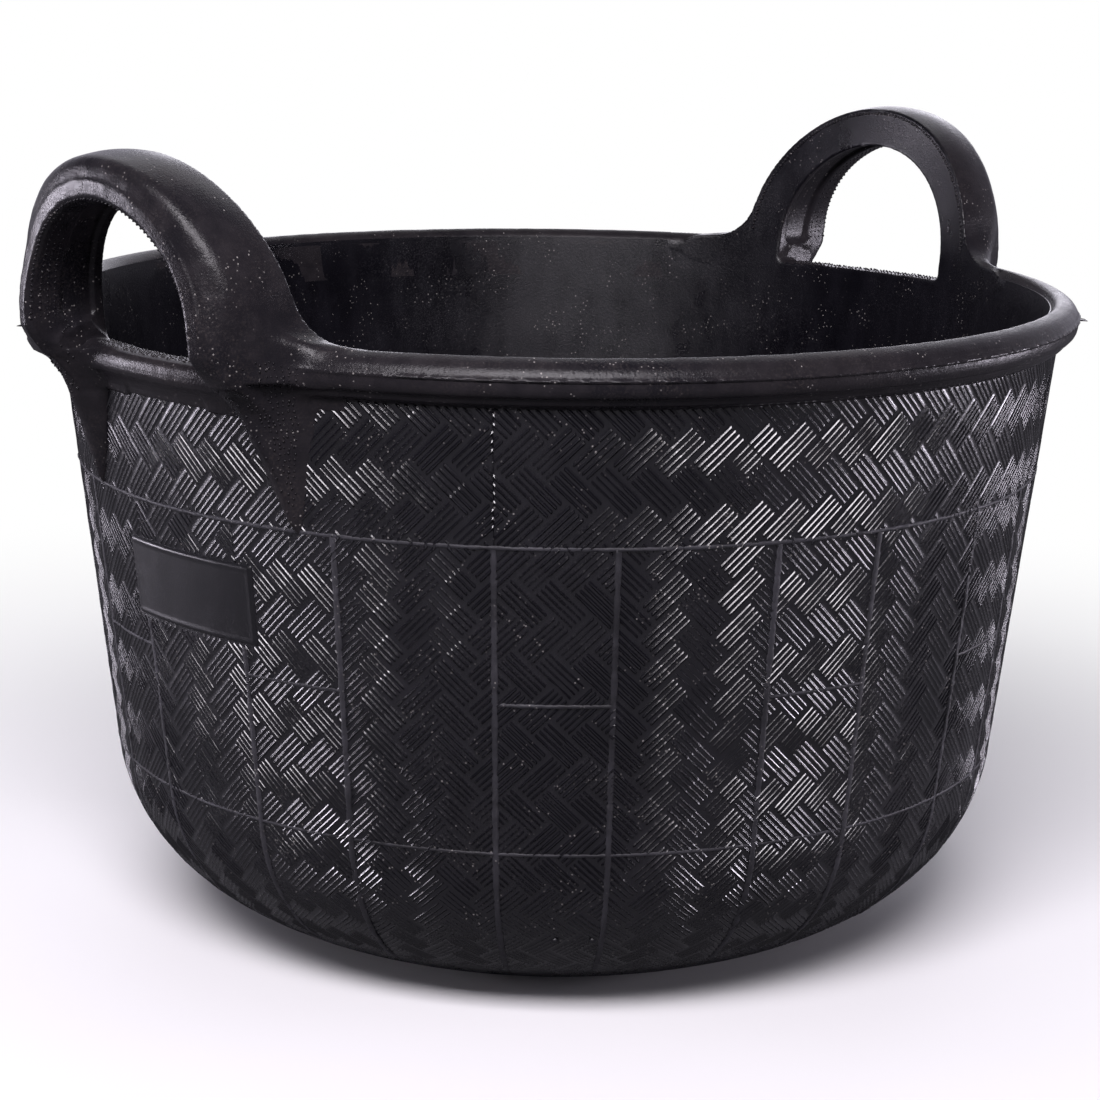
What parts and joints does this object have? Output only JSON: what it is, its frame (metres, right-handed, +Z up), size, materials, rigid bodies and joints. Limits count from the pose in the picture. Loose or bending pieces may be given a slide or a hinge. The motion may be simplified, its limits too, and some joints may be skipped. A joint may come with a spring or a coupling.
{
  "type": "mortar mixing tub",
  "caption": "Flexible rubber builder's tub: a round rounded-bottom bowl with a rolled rim, two upstanding handle bows and a plaited relief, for mixing and carrying mortar.",
  "frame": {"origin": "centre of the flat underside", "axes": "+Z up out of the bowl's mouth, +X through the right handle, -X through the left handle and its label pad"},
  "size_m": [0.5582, 0.5, 0.382],
  "materials": {
    "tub_rubber": "satin, dusty",
    "handle_rubber": "satin",
    "cord": "twisted textile"
  },
  "bodies": {
    "tub": {"tub_shell": "tub_rubber", "rim_bead": "tub_rubber", "left_front_root": "tub_rubber", "left_rear_root": "tub_rubber", "right_front_root": "tub_rubber", "right_rear_root": "tub_rubber", "left_cord_tails": "cord", "right_cord_tails": "cord", "label_pad": "tub_rubber"},
    "left_handle": {"left_handle_bow": "handle_rubber", "left_handle_cord": "cord"},
    "right_handle": {"right_handle_bow": "handle_rubber", "right_handle_cord": "cord"}
  },
  "joints": [
    {"name": "left_handle_flex", "type": "hinge", "parent": "tub", "child": "left_handle", "pos_m": [-0.249, 0, 0.321], "axis": [0, 1, 0], "range_deg": [-20, 35], "stiffness_Nm_per_rad": 18},
    {"name": "right_handle_flex", "type": "hinge", "parent": "tub", "child": "right_handle", "pos_m": [0.249, 0, 0.321], "axis": [0, -1, 0], "range_deg": [-20, 35], "stiffness_Nm_per_rad": 18}
  ]
}
